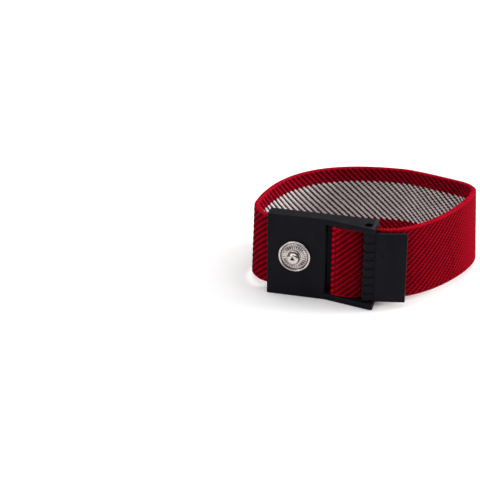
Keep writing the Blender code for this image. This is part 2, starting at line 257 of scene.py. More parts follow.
class Nodes:
    """Builds a material's node tree with short calls."""

    def __init__(self, name):
        self.material = bpy.data.materials.new(name)
        self.material.use_nodes = True
        self.tree = self.material.node_tree
        self.shader = self.tree.nodes["Principled BSDF"]

    def add(self, kind, **settings):
        node = self.tree.nodes.new(kind)
        for key, value in settings.items():
            setattr(node, key, value)
        return node

    def plug(self, socket, value):
        if isinstance(value, bpy.types.NodeSocket):
            self.tree.links.new(value, socket)
        else:
            socket.default_value = value

    def maths(self, operation, a, b=None, clamp=False):
        node = self.add("ShaderNodeMath", operation=operation, use_clamp=clamp)
        self.plug(node.inputs[0], a)
        if b is not None:
            self.plug(node.inputs[1], b)
        return node.outputs[0]

    def span(self, value, low, high, to_low=0.0, to_high=1.0, smooth=False):
        node = self.add("ShaderNodeMapRange", interpolation_type="SMOOTHSTEP" if smooth else "LINEAR")
        self.plug(node.inputs["Value"], value)
        ends = {"From Min": low, "From Max": high, "To Min": to_low, "To Max": to_high}
        for socket, number in ends.items():
            self.plug(node.inputs[socket], number)
        return node.outputs["Result"]

    def mix(self, factor, a, b):
        node = self.add("ShaderNodeMix", data_type="RGBA")
        self.plug(node.inputs["Factor"], factor)
        self.plug(node.inputs["A"], a)
        self.plug(node.inputs["B"], b)
        return node.outputs["Result"]

    def tint(self, factor, colour):
        """Multiplies a colour by a value."""
        node = self.add("ShaderNodeVectorMath", operation="SCALE")
        self.plug(node.inputs[0], colour)
        self.plug(node.inputs["Scale"], factor)
        return node.outputs[0]

    def ramp(self, value, stops):
        node = self.add("ShaderNodeValToRGB")
        self.plug(node.inputs[0], value)
        elements = node.color_ramp.elements
        while len(elements) < len(stops):
            elements.new(0.5)
        for element, (position, colour) in zip(elements, stops):
            element.position = position
            element.color = (*colour, 1.0)
        return node.outputs[0]

    def noise(self, vector, scale, detail=2.0, roughness=0.5):
        node = self.add("ShaderNodeTexNoise")
        self.plug(node.inputs["Vector"], vector)
        self.plug(node.inputs["Scale"], scale)
        self.plug(node.inputs["Detail"], detail)
        self.plug(node.inputs["Roughness"], roughness)
        return node.outputs[0]

    def stretched(self, vector, scale):
        node = self.add("ShaderNodeVectorMath", operation="MULTIPLY")
        self.plug(node.inputs[0], vector)
        self.plug(node.inputs[1], scale)
        return node.outputs[0]

    def hypotenuse(self, a, b):
        squares = self.maths("ADD", self.maths("MULTIPLY", a, a), self.maths("MULTIPLY", b, b))
        return self.maths("SQRT", squares)

    def object_coordinates(self):
        return self.add("ShaderNodeTexCoord").outputs["Object"]

    def separated(self, vector):
        split = self.add("ShaderNodeSeparateXYZ")
        self.plug(split.inputs[0], vector)
        return split.outputs

    def bump(self, height, distance, strength=1.0):
        node = self.add("ShaderNodeBump")
        self.plug(node.inputs["Height"], height)
        self.plug(node.inputs["Distance"], distance)
        self.plug(node.inputs["Strength"], strength)
        self.tree.links.new(node.outputs[0], self.shader.inputs["Normal"])

    def set(self, **sockets):
        for name, value in sockets.items():
            self.plug(self.shader.inputs[name.replace("_", " ")], value)


# ---------------------------------------------------------------- materials

def weave_material(name, conductive, bend=(0.0, 1.0)):
    """Diagonal ribs of elastic webbing; the wrist side carries the pale conductive stripe.

    Where the outer side goes round the bend, between two counts of ribs, its ribs close up and hide
    the gaps; this also paints the loop's right bend brighter, a painted highlight.
    """
    n = Nodes(name)
    uv = n.add("ShaderNodeUVMap", uv_map="weave").outputs[0]
    run, rise, _ = n.separated(uv)
    cloth = n.stretched(uv, (RIB_RISE, RIB_RISE, 1.0))
    wobble = n.maths("ADD", n.span(n.noise(cloth, 0.9, 2.0), 0.0, 1.0, -0.13, 0.13),
                     n.span(n.noise(cloth, 3.2, 2.0), 0.0, 1.0, -0.10, 0.10))
    phase = n.maths("ADD", n.maths("ADD", run, rise), wobble)
    ridge = n.maths("COSINE", n.maths("MULTIPLY", phase, 2 * math.pi))

    # Yarns cross the gaps between the ribs and break them into a chain of pits, painted dark as shade
    across = n.maths("MULTIPLY", n.maths("SUBTRACT", rise, run), YARNS_PER_RIB)
    turn = n.maths("MULTIPLY", n.maths("ADD", across, n.maths("MULTIPLY", phase, 0.5)), 2 * math.pi)
    yarn = n.maths("COSINE", n.maths("ADD", turn, n.span(n.noise(cloth, 2.0, 1.0), 0.0, 1.0, -2.2, 2.2)))
    fibres = n.noise(cloth, 7.0, 3.0, 0.65)
    relief = n.maths("ADD", n.maths("MULTIPLY", ridge, WRIST_RIDGE if conductive else OUTER_RIDGE),
                     n.maths("MULTIPLY", yarn, WRIST_YARN if conductive else OUTER_YARN))
    relief = n.maths("ADD", relief, n.span(fibres, 0.25, 0.75, 0.38, 0.62), clamp=True)
    if not conductive:
        low, high = bend
        reach = (high - low) / 2
        # closing the ribs round the right bend also paints it brighter: painted highlight
        closed_brighter = n.maths("MULTIPLY", n.span(run, low - reach, low + reach, smooth=True),
                         n.span(run, high - reach, high + reach, 1.0, 0.0, smooth=True))
        closed_brighter = n.maths("MULTIPLY", closed_brighter, BEND_CLOSES_BRIGHTER)
        relief = n.maths("ADD", n.maths("MULTIPLY", relief, n.maths("SUBTRACT", 1.0, closed_brighter)),
                         n.maths("MULTIPLY", closed_brighter, BEND_BRIGHT_LEVEL))

    width = n.maths("MULTIPLY", n.maths("ABSOLUTE", rise), RIB_RISE)
    ribs_end = BAND_WIDTH / 2 - SELVEDGE
    selvedge = n.span(width, ribs_end - 0.15, ribs_end + 0.25, smooth=True)
    # the ramps paint the gaps and pits dark: painted shade
    colour = n.ramp(relief, WRIST_RED_STOPS if conductive else OUTER_RED_STOPS)
    if conductive:
        reach = n.maths("SUBTRACT", width, n.maths("MULTIPLY", ridge, STRIPE_TOOTH))
        outside = n.span(reach, STRIPE_HALF - STRIPE_BLUR, STRIPE_HALF + STRIPE_BLUR, smooth=True)
        colour = n.mix(outside, n.ramp(relief, STRIPE_STOPS), colour)
    turns = n.maths("MULTIPLY", n.maths("ADD", run, wobble), 2 * math.pi * SELVEDGE_LOOPS)
    loops = n.maths("COSINE", turns)
    edge = n.maths("ADD", n.maths("MULTIPLY", loops, LOOP_CONTRAST), fibres)
    colour = n.mix(selvedge, colour, n.ramp(edge, SELVEDGE_STOPS))
    shade = n.span(n.noise(cloth, 0.22, 2.0), 0.3, 0.7, 0.90, 1.08)
    if not conductive:
        # the hem's painted highlight and painted shade multiply the tone here
        shade = n.maths("MULTIPLY", shade, hem_painted_light(n))
    n.set(Base_Color=n.tint(shade, colour), Roughness=n.span(relief, 0.0, 1.0, 0.95, 0.80))
    n.shader.inputs["Specular IOR Level"].default_value = 0.01
    n.bump(n.maths("ADD", n.maths("MULTIPLY", relief, 0.7), n.maths("MULTIPLY", fibres, 0.3)), 0.00020, 0.8)
    return n.material


def hem_painted_light(n):
    """Painted highlight along the folded edge, painted shade in the needle holes and towards the cam; 1 off
    the tail.
    """
    x, y, z = n.separated(n.object_coordinates())
    seam = place(SEAM_ALONG, HEM_DEPTH - BAND_THICKNESS, HOLE_START)
    beside = n.maths("DIVIDE", n.maths("SUBTRACT", x, seam.x), HOLE_HALF_WIDTH * MM)
    step = n.maths("FRACT", n.maths("DIVIDE", n.maths("SUBTRACT", z, seam.z), HOLE_PITCH * MM))
    above = n.maths("MULTIPLY", n.maths("SUBTRACT", step, 0.5), HOLE_PITCH / HOLE_HALF_HEIGHT)
    # painted shade in the needle holes, painted highlight at the fold, painted shade towards the cam
    hole = n.span(n.hypotenuse(beside, above), 0.3, 1.1, HOLE_PAINTED_SHADE, 1.0, smooth=True)
    fold = n.span(x, seam.x - 1.3 * MM, seam.x + 2.2 * MM, FOLD_PAINTED_HIGHLIGHT, 1.0, smooth=True)
    towards_cam = n.span(x, seam.x, seam.x + 8.6 * MM, 1.0, CAM_PAINTED_SHADE)
    on_tail = n.maths("MULTIPLY", n.maths("MULTIPLY", hole, fold), towards_cam)
    in_front = n.maths("MULTIPLY", n.maths("LESS_THAN", y, place(0, 2.6, 0).y),
                       n.maths("LESS_THAN", x, place(CROSSBAR_START + 2.5, 0, 0).x))
    in_front = n.maths("MULTIPLY", in_front, n.maths("GREATER_THAN", x, place(PLATE_LENGTH, 0, 0).x))
    return n.maths("ADD", n.maths("MULTIPLY", on_tail, in_front), n.maths("SUBTRACT", 1.0, in_front))


def plastic_material(name, colour, roughness, glints=None):
    """Moulded nylon with a fine spark-eroded grain and faint flow marks.

    From the first of two places along the buckle to the second it is painted pale in patches: painted
    glints.
    """
    n = Nodes(name)
    where = n.object_coordinates()
    grain = n.noise(where, 5200.0, 2.0, 0.6)
    flow = n.noise(n.stretched(where, (1.0, 1.0, 0.25)), 260.0, 3.0)
    dark = (*[c * 0.82 for c in colour], 1.0)
    light = (*[c * 1.25 for c in colour], 1.0)
    tone = n.mix(n.span(flow, 0.3, 0.7), dark, light)
    if glints:
        start, end = (place(along, 0, 0).x for along in glints)
        towards_glints = n.span(n.separated(where)[0], start, end, smooth=True)
        blotches = n.noise(n.stretched(where, (1.0, 1.0, 0.6)), 1500.0, 2.0, 0.6)
        patches = n.span(blotches, 0.42, 0.60, 0.25, 1.0)
        # painted glints: patches of paler plastic
        tone = n.mix(n.maths("MULTIPLY", towards_glints, patches), tone, (*[c * GLINT_GAIN for c in colour], 1.0))
    n.set(Base_Color=tone, Roughness=n.span(grain, 0.3, 0.7, roughness - 0.06, roughness + 0.08))
    n.shader.inputs["Specular IOR Level"].default_value = 0.06
    n.bump(grain, 0.00002, 0.5)
    return n.material


def nickel_material(name="nickel_plate", clean=NICKEL_CLEAN, bright=NICKEL_BRIGHT, fluted=False):
    """Nickel plate, slightly clouded and finely scratched; painted shade between the stud's flutes."""
    n = Nodes(name)
    where = n.object_coordinates()
    cloud = n.noise(where, 700.0, 3.0)
    scratch = n.noise(n.stretched(where, (6.0, 1.0, 0.4)), 2600.0, 2.0, 0.7)
    colour = n.mix(n.span(cloud, 0.3, 0.7), (*clean, 1.0), (*bright, 1.0))
    if fluted:
        axis = place(STUD_ALONG, 0, STUD_LEVEL)
        where_x, _, where_z = n.separated(where)
        x = n.maths("SUBTRACT", where_x, axis.x)
        z = n.maths("SUBTRACT", where_z, axis.z)
        radius = n.hypotenuse(x, z)
        turn = n.maths("MULTIPLY", n.maths("ARCTAN2", z, x), float(FLUTES))
        between = n.span(n.maths("COSINE", turn), -1.0, 0.2, 1.0, 0.0, smooth=True)
        patch = n.span(n.noise(where, 330.0, 1.0), 0.38, 0.58, 0.25, 1.0)
        on_flutes = n.maths("MULTIPLY", n.span(radius, 2.75 * MM, 3.05 * MM, smooth=True),
                            n.span(radius, 3.7 * MM, 3.95 * MM, 1.0, 0.0, smooth=True))
        # painted shade between the flutes and in rings at the neck and the groove
        flute_shade = n.maths("MULTIPLY", n.maths("MULTIPLY", between, on_flutes), patch)
        rings = n.maths("ADD", ring_mask(n, radius, 4.13, 0.17), ring_mask(n, radius, 1.98, 0.22))
        flute_shade = n.maths("MAXIMUM", n.maths("MULTIPLY", flute_shade, 0.9), n.maths("MULTIPLY", rings, 0.8))
        colour = n.mix(flute_shade, colour, FLUTE_SHADE_COLOUR)
    n.set(Base_Color=colour, Metallic=1.0, Roughness=n.span(scratch, 0.3, 0.7, 0.16, 0.30))
    n.bump(scratch, 0.000006, 0.5)
    return n.material


def ring_mask(n, radius, middle, half):
    """1 at a radius given in millimetres, fading out on both sides."""
    away = n.maths("ABSOLUTE", n.maths("SUBTRACT", radius, middle * MM))
    return n.span(away, 0.0, half * MM, 1.0, 0.0, smooth=True)


def steel_material():
    """Stainless sheet, brushed along the buckle."""
    n = Nodes("brushed_steel")
    where = n.object_coordinates()
    brushed = n.noise(n.stretched(where, (0.04, 1.0, 1.0)), 9000.0, 3.0, 0.7)
    cloud = n.noise(where, 220.0, 2.0)
    n.set(Base_Color=n.mix(n.span(cloud, 0.3, 0.7), (0.56, 0.56, 0.56, 1.0), (0.68, 0.68, 0.67, 1.0)),
          Metallic=1.0, Roughness=n.span(brushed, 0.3, 0.7, 0.24, 0.40))
    n.bump(brushed, 0.000008, 0.6)
    return n.material


def thread_material():
    """Twisted red sewing thread."""
    n = Nodes("sewing_thread")
    where = n.object_coordinates()
    x, _, z = n.separated(where)
    twist = n.maths("SINE", n.maths("MULTIPLY", n.maths("ADD", x, z), 2 * math.pi / (THREAD_TWIST * MM)))
    fluff = n.noise(where, 9000.0, 2.0)
    ply = n.maths("ADD", n.span(twist, -1.0, 1.0, 0.0, 0.8), n.span(fluff, 0.3, 0.7, 0.0, 0.2))
    n.set(Base_Color=n.mix(ply, (0.05, 0.0004, 0.002, 1.0), (0.20, 0.0012, 0.007, 1.0)),
          Roughness=n.span(ply, 0.0, 1.0, 0.9, 0.75))
    n.shader.inputs["Specular IOR Level"].default_value = 0.02
    n.bump(ply, 0.00004, 0.8)
    return n.material


# ---------------------------------------------------------------- mesh helpers

def finished_object(name, mesh, materials, body, nodes):
    """Links a piece, gives it its materials, parents it to its body's empty and hides its CAD parts."""
    piece = bpy.data.objects.new(name, mesh)
    bpy.context.scene.collection.objects.link(piece)
    for material in materials:
        mesh.materials.append(material)
    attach(piece, body)
    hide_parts(*nodes)
    return piece


def helper_object(name, solid):
    bmesh.ops.recalc_face_normals(solid, faces=solid.faces)
    mesh = bpy.data.meshes.new(name)
    solid.to_mesh(mesh)
    solid.free()
    helper = bpy.data.objects.new(name, mesh)
    bpy.context.scene.collection.objects.link(helper)
    return helper


def extruded(outline, low, high):
    """A prism over an outline of (along, depth) points in millimetres, between two heights."""
    solid = bmesh.new()
    face = solid.faces.new([solid.verts.new(place(along, depth, low)) for along, depth in outline])
    raised = bmesh.ops.extrude_face_region(solid, geom=[face])
    top = [item for item in raised["geom"] if isinstance(item, bmesh.types.BMVert)]
    bmesh.ops.translate(solid, verts=top, vec=(0, 0, (high - low) * MM))
    return solid


def box_outline(start, end, inner, outer):
    return ((start, inner), (end, inner), (end, outer), (start, outer))


def upright_cylinder(along, depth, low, high, radius, segments=48):
    solid = bmesh.new()
    centre = Matrix.Translation(place(along, depth, (low + high) / 2))
    bmesh.ops.create_cone(solid, cap_ends=True, segments=segments, radius1=radius * MM, radius2=radius * MM,
                          depth=(high - low) * MM, matrix=centre)
    return solid


def outward_cylinder(along, height, inner, outer, radius, segments=48):
    solid = bmesh.new()
    centre = place(along, (inner + outer) / 2, height)
    turn = Matrix.Translation(centre) @ Matrix.Rotation(math.pi / 2, 4, "X")
    bmesh.ops.create_cone(solid, cap_ends=True, segments=segments, radius1=radius * MM, radius2=radius * MM,
                          depth=(outer - inner) * MM, matrix=turn)
    return solid


def combine(target, solid, operation="DIFFERENCE"):
    """Adds or cuts away a solid; the tool is removed by baked()."""
    tool = helper_object("tool", solid)
    modifier = target.modifiers.new("combine", "BOOLEAN")
    modifier.object = tool
    modifier.operation = operation
    modifier.solver = "EXACT"


def round_edges(target, width, segments=3, angle=30.0, material=-1):
    modifier = target.modifiers.new("round", "BEVEL")
    modifier.width = width * MM
    modifier.segments = segments
    modifier.limit_method = "ANGLE"
    modifier.angle_limit = math.radians(angle)
    modifier.material = material


def baked(helper, smooth_angle=40.0):
    """The helper's final mesh, with its modifiers applied; the helper and its tools are removed."""
    graph = bpy.context.evaluated_depsgraph_get()
    mesh = bpy.data.meshes.new_from_object(helper.evaluated_get(graph))
    tools = [modifier.object for modifier in helper.modifiers if modifier.type == "BOOLEAN"]
    for old in tools + [helper]:
        bpy.data.objects.remove(old, do_unlink=True)
    mesh.materials.clear()
    mesh.shade_smooth()
    mesh.set_sharp_from_angle(angle=math.radians(smooth_angle))
    return mesh


def turned_mesh(name, profile, along, height, segments, relief=None):
    """A turned piece whose axis runs outwards; relief(radius, angle, row) lifts its points outwards."""
    radii = np.array([point[0] for point in profile])
    depths = np.array([point[1] for point in profile])
    angles = np.arange(segments) * 2 * math.pi / segments
    r, a = np.meshgrid(radii, angles, indexing="ij")
    d = np.repeat(depths[:, None], segments, axis=1)
    if relief:
        d = d + relief(r, a, np.arange(len(profile))[:, None])
    centre = place(along, 0, height)
    sideways, upwards = r * np.cos(a) * MM, r * np.sin(a) * MM
    points = np.stack([centre.x + sideways, centre.y - d * MM, centre.z + upwards], axis=-1)
    solid = bmesh.new()
    rings = [[solid.verts.new(point) for point in ring] for ring in points]
    for ring, following in zip(rings, rings[1:]):
        for index in range(segments):
            after = (index + 1) % segments
            solid.faces.new((ring[index], ring[after], following[after], following[index]))
    bmesh.ops.remove_doubles(solid, verts=solid.verts, dist=1e-7)
    bmesh.ops.recalc_face_normals(solid, faces=solid.faces)
    mesh = bpy.data.meshes.new(name)
    solid.to_mesh(mesh)
    solid.free()
    mesh.shade_smooth()
    mesh.set_sharp_from_angle(angle=math.radians(50))
    return mesh


def arc(centre, radius, start, end, count):
    """Points of an arc, angles in degrees."""
    steps = [math.radians(start + (end - start) * step / (count - 1)) for step in range(count)]
    return [(centre[0] + radius * math.cos(a), centre[1] + radius * math.sin(a)) for a in steps]


# ---------------------------------------------------------------- elastic band

def bezier(start, start_handle, end_handle, end, count):
    t = np.linspace(0, 1, count, endpoint=False)[:, None]
    s = 1 - t
    return s**3 * start + 3 * s * s * t * start_handle + 3 * s * t * t * end_handle + t**3 * end


def unit_rows(vectors):
    return vectors / np.linalg.norm(vectors, axis=1)[:, None]


def outwards_of(line):
    """The direction away from the wrist at each point of a plan line."""
    travel = unit_rows(np.gradient(line, axis=0))
    return np.stack([travel[:, 1], -travel[:, 0]], axis=1)


def loop_line():
    """The loop's centre line with its edge offsets and lean, from the riveted end to the cam."""
    behind_plate = [np.linspace(BAND_START, 0.1, 60), np.full(60, BAND_LEAVES_DEPTH)]
    rows = [np.stack(behind_plate + [np.zeros(60)] * 3, axis=1)]
    for node, following in zip(LOOP_NODES, LOOP_NODES[1:]):
        start, end = np.array(node[:2]), np.array(following[:2])
        leaving, arriving = (np.array([math.cos(math.radians(a)), math.sin(math.radians(a))])
                             for a in (node[2], following[2]))
        plan = bezier(start, start + leaving * node[4], end - arriving * following[3], end, 300)
        t = np.linspace(0, 1, 300, endpoint=False)[:, None]
        ease = t * t * (3 - 2 * t)
        rows.append(np.hstack([plan, np.array(node[5:]) * (1 - ease) + np.array(following[5:]) * ease]))
    rows = np.concatenate(rows)
    rows[:, :2] -= outwards_of(rows[:, :2]) * BAND_THICKNESS / 2
    return rows


def tail_line():
    """The tail's centre line: round the cam, up to the hem, round its fold and back under it."""
    half = BAND_THICKNESS / 2
    level, hem_level = BAND_CAM_DEPTH - half, HEM_DEPTH - half
    slope = math.radians(HEM_SLOPE)
    near = PIVOT_DEPTH - level
    far = (hem_level - level) / (1 - math.cos(slope)) - near
    rise_end = PIVOT_ALONG - (near + far) * math.sin(slope)
    a = np.linspace(0, slope, 30)
    up = np.stack([PIVOT_ALONG - near * np.sin(a), PIVOT_DEPTH - near * np.cos(a)], axis=1)
    down = a[::-1]
    over = np.stack([rise_end + far * np.sin(down), hem_level - far * (1 - np.cos(down))], axis=1)
    fold_r = half + FOLD_AIR
    fold = np.array(arc((HEM_END + half + fold_r, hem_level - fold_r), fold_r, 90, 270, 24))
    return np.concatenate([up, over[1:], fold, [[HEM_RETURN, hem_level - 2 * fold_r]]])


def band_line():
    """Evenly sampled points: along, depth, lower and upper edge offset, lean.

    With them come the length so far at each and the loop's length without the tail.
    """
    loop, tail = loop_line(), tail_line()
    line = np.concatenate([loop, np.hstack([tail, np.zeros((len(tail), 3))])])
    length = np.concatenate([[0], np.cumsum(np.linalg.norm(np.diff(line[:, :2], axis=0), axis=1))])
    even = np.linspace(0, length[-1], int(length[-1] / SAMPLE_STEP))
    line = np.stack([np.interp(even, length, column) for column in line.T], axis=1)
    for _ in range(10):
        line[1:-1] = (line[:-2] + 2 * line[1:-1] + line[2:]) / 4
    return line, even, length[len(loop)]


def band_profile():
    """Once round the section: place across the width, offset in thickness, 0 outer or 1 inner side."""
    half, corner = BAND_THICKNESS / 2, SELVEDGE
    flat = BAND_WIDTH / 2 - corner
    across = np.linspace(-flat, flat, int(2 * flat / ROW_STEP) + 1)
    turns = [math.radians(90 - 15 * step) for step in range(1, 7)]
    upper = [(flat + corner * math.cos(a), half - corner + corner * math.sin(a)) for a in turns]
    edge = upper + [(x, -y) for x, y in upper[::-1]]
    profile = [(w, half, 0) for w in across]
    profile += [(x, y, 0 if y > 0 else 1) for x, y in edge]
    profile += [(w, -half, 1) for w in across[::-1]]
    profile += [(-x, -y, 1 if y > 0 else 0) for x, y in edge]
    return np.array(profile)


def rib_height(phase):
    """1 on a rib, 0 in the gap beside it."""
    return 1 - ((1 - np.cos(2 * math.pi * phase)) / 2) ** 2.2


def seam_dip(line, length):
    """How far the seam pulls the hem's outer face in, column by column."""
    on_hem = (length > length[-1] - 15) & (line[:, 1] > HEM_DEPTH - BAND_THICKNESS)
    return np.where(on_hem, SEAM_DIP * np.exp(-((line[:, 0] - SEAM_ALONG) / SEAM_REACH) ** 2), 0.0)


def band_mesh():
    """The ribbed band, its length, and the counts of ribs between which it goes round the tightest bend."""
    line, length, loop_length = band_line()
    outward = outwards_of(line[:, :2])
    share = length / loop_length
    spacing = np.interp(share, [s for s, _ in RIB_SPACING], [p for _, p in RIB_SPACING])
    spacing = np.where(share > 1.0, TAIL_SPACING, spacing)
    run = np.concatenate([[0], np.cumsum(np.diff(length) / ((spacing[1:] + spacing[:-1]) / 2))])

    profile = band_profile()
    w, thick, inner = profile[:, 0], profile[:, 1], profile[:, 2]
    ribbed = np.clip((BAND_WIDTH / 2 - SELVEDGE * 0.3 - np.abs(w)) / (SELVEDGE * 1.4), 0, 1)
    phase = run[:, None] + w[None, :] / RIB_RISE
    height = np.where(inner == 0, RIB_HEIGHT, WRIST_RIB_HEIGHT)
    at_fold = (share > 1.0) & (line[:, 0] < SEAM_ALONG)
    flattened = np.where(at_fold, FOLD_RIBS, 1.0)
    dip = flattened[:, None] * (height * ribbed)[None, :] * (1 - rib_height(phase))
    dip = dip + seam_dip(line, length)[:, None] * (inner == 0)[None, :]
    offset = np.sign(thick)[None, :] * np.maximum(np.abs(thick)[None, :] - dip, 0.1)
    lean = line[:, 4][:, None] * (-w / BAND_WIDTH)[None, :]
    along = line[:, 0][:, None] + outward[:, 0][:, None] * (offset + lean)
    depth = line[:, 1][:, None] + outward[:, 1][:, None] * (offset + lean)
    lower, upper = line[:, 2][:, None], line[:, 3][:, None]
    lift = (lower + upper) / 2 + (upper - lower) * (w / BAND_WIDTH)[None, :]
    height = MID_HEIGHT + w[None, :] + lift
    origin = place(0, 0, 0)
    points = np.stack([origin.x + along * MM, origin.y - depth * MM, origin.z + height * MM], axis=-1)

    columns, rows = len(line), len(profile)
    index = np.arange(columns * rows).reshape(columns, rows)
    beside = np.roll(index, -1, axis=1)
    quads = np.stack([index[:-1], beside[:-1], beside[1:], index[1:]], axis=-1)
    faces = [tuple(quad) for quad in quads.reshape(-1, 4).tolist()]
    faces += [tuple(index[0][::-1].tolist()), tuple(index[-1].tolist())]
    mesh = bpy.data.meshes.new("elastic_webbing")
    mesh.from_pydata(points.reshape(-1, 3).tolist(), [], faces)
    corner = np.empty(len(mesh.loops), dtype=np.int32)
    mesh.loops.foreach_get("vertex_index", corner)
    weave = np.stack([np.repeat(run, rows)[corner], np.tile(w / RIB_RISE, columns)[corner]], axis=1)
    mesh.uv_layers.new(name="weave").uv.foreach_set("vector", weave.astype(np.float32).ravel())
    side = np.concatenate([np.tile(inner.astype(np.int32), columns - 1), [0, 0]]).astype(np.int32)
    mesh.polygons.foreach_set("material_index", side)
    mesh.shade_smooth()
    mesh.update()
    bend = [float(np.interp(share_of_bend, share, run)) for share_of_bend in BEND_SHARES]
    return mesh, length[-1], bend


def make_band():
    mesh, length, bend = band_mesh()
    solid = bmesh.new()
    solid.from_mesh(mesh)
    bmesh.ops.recalc_face_normals(solid, faces=solid.faces)
    solid.to_mesh(mesh)
    solid.free()
    materials = (weave_material("band_outer_weave", False, bend), weave_material("band_wrist_weave", True))
    band = finished_object("elastic_webbing", mesh, materials, "strap", ["elastic_band"])


def make_stitches():
    """The seam across the folded tail: short stitches whose ends dive into the weave."""
    solid = bmesh.new()
    for index in range(STITCHES):
        low = HOLE_START + HOLE_PITCH * (index + 0.5)
        rings = []
        for step in range(13):
            t = step / 12
            lift = 0.16 * math.sin(math.pi * t) ** 0.6 - 0.22 * (abs(2 * t - 1) ** 6)
            depth, height = THREAD_LEVEL + lift, low + HOLE_PITCH * (0.06 + 0.88 * t)
            round_thread = [(SEAM_ALONG + THREAD_R * math.cos(a), depth + THREAD_R * math.sin(a))
                            for a in (2 * math.pi * k / 10 for k in range(10))]
            rings.append([solid.verts.new(place(x, y, height)) for x, y in round_thread])
        for ring, following in zip(rings, rings[1:]):
            for k in range(10):
                solid.faces.new((ring[k], ring[(k + 1) % 10], following[(k + 1) % 10], following[k]))
        solid.faces.new(rings[0])
        solid.faces.new(rings[-1])
    bmesh.ops.recalc_face_normals(solid, faces=solid.faces)
    mesh = bpy.data.meshes.new("hem_stitches")
    solid.to_mesh(mesh)
    solid.free()
    mesh.shade_smooth()
    finished_object("hem_stitches", mesh, [thread_material()], "strap", ["hem_thread"])


# ---------------------------------------------------------------- buckle

def make_frame():
    """The buckle's moulding, with rounded edges all round."""
    corner = arc((FRAME_LENGTH - RAIL_CORNER_R, RAIL_FRONT - 0.55), RAIL_CORNER_R, 0, 100, 6)
    outline = [(0, 0), (FRAME_LENGTH, 0)] + corner + [(RAIL_KINK, PLATE_FRONT), (0, PLATE_FRONT)]
    body = helper_object("buckle_frame_body", extruded(outline, 0, FRAME_HEIGHT))
    beyond = 3 * PLATE_FRONT
    low, high = RAIL_THICKNESS, FRAME_HEIGHT - RAIL_THICKNESS
    combine(body, extruded(box_outline(-beyond, POCKET_END, -beyond, PLATE_BACK), low, high))
    opening = (
        (SILL_END, -beyond), (CROSSBAR_START, -beyond), (CROSSBAR_START, CROSSBAR_DEPTH),
        (FRAME_LENGTH + beyond, CROSSBAR_DEPTH), (FRAME_LENGTH + beyond, beyond),
        (PLATE_LENGTH, beyond), (PLATE_LENGTH, CROSSBAR_DEPTH), (SILL_END, CROSSBAR_DEPTH),
    )
    combine(body, extruded(opening, low, high))
    # the rounded edges take material 1, a paler plastic: painted highlight
    round_edges(body, EDGE_ROUND, 3, 30.0, 1)
    combine(body, upright_cylinder(PIVOT_ALONG, PIVOT_DEPTH, -1, FRAME_HEIGHT + 1, PIVOT_HOLE_R))
    combine(body, outward_cylinder(SNAP_ALONG, MID_HEIGHT, 0.5, PLATE_FRONT + 1, FRAME_RIVET_HOLE_R))
    materials = (plastic_material("buckle_plastic", PLASTIC_BLACK, 0.42),
                 plastic_material("buckle_edge_highlight", FRAME_EDGE_HIGHLIGHT, 0.34),
                 plastic_material("buckle_top_painted_light", RAIL_TOP_PAINTED_LIGHT, 0.40,
                                  (PIVOT_ALONG + 0.9, PIVOT_ALONG + 1.6)))
    mesh = baked(body)
    # the top faces take material 2: painted light from above, with painted glints near the rail's end
    for polygon in mesh.polygons:
        if polygon.normal.z > 0.9 and polygon.center.z > FRAME_HIGH.z - 0.1 * MM:
            polygon.material_index = 2
    finished_object("buckle_frame_shell", mesh, materials, "strap", ["buckle_frame"])


def around_pivot(section):
    return [(PIVOT_ALONG + x, PIVOT_DEPTH - y) for x, y in section]


def make_lever():
    """A round cam cut into teeth, running out into a flat finger tab; its trunnions turn in the rails."""
    low, high = RAIL_THICKNESS + LEVER_GAP, FRAME_HEIGHT - RAIL_THICKNESS - LEVER_GAP
    section = arc((0, 0), CAM_R, 50, 265, 40) + list(TAB_SECTION)
    lever = helper_object("lever_body", extruded(around_pivot(section), low, high))
    pitch = (high - low) / TOOTH_COUNT
    for index in range(1, TOOTH_COUNT):
        middle = low + pitch * index
        slot = extruded(around_pivot(SLOT_SECTION), middle - TOOTH_SLOT / 2, middle + TOOTH_SLOT / 2)
        combine(lever, slot)
    # the rounded edges take material 1, a paler plastic: painted highlight
    round_edges(lever, LEVER_ROUND, 3, 40.0, 1)
    trunnions = upright_cylinder(PIVOT_ALONG, PIVOT_DEPTH, TRUNNION_RECESS, FRAME_HEIGHT - TRUNNION_RECESS,
                                 TRUNNION_R)
    combine(lever, trunnions, "UNION")
    face = PIVOT_DEPTH + GATE_LEVEL
    gate = outward_cylinder(PIVOT_ALONG + GATE_ALONG, GATE_HEIGHT, face - GATE_DEPTH, face + 2, GATE_R)
    combine(lever, gate)
    # the lever's plastic is painted pale in patches on the cam's left side: painted glints
    materials = (plastic_material("lever_plastic", PLASTIC_BLACK, 0.40,
                                  (PIVOT_ALONG - 0.5, PIVOT_ALONG - 1.4)),
                 plastic_material("lever_edge_highlight", LEVER_EDGE_HIGHLIGHT, 0.34))
    finished_object("cam_lever_moulding", baked(lever), materials, "lever", ["cam_lever"])


def pit_depth(right, up):
    """How far inside the crown's three-cornered pit a place is, in millimetres; one corner points up."""
    normals = [math.radians(angle) for angle in (-90, 30, 150)]
    up = up - PIT_LIFT
    return np.minimum.reduce([PIT_R - (right * math.cos(a) + up * math.sin(a)) for a in normals])


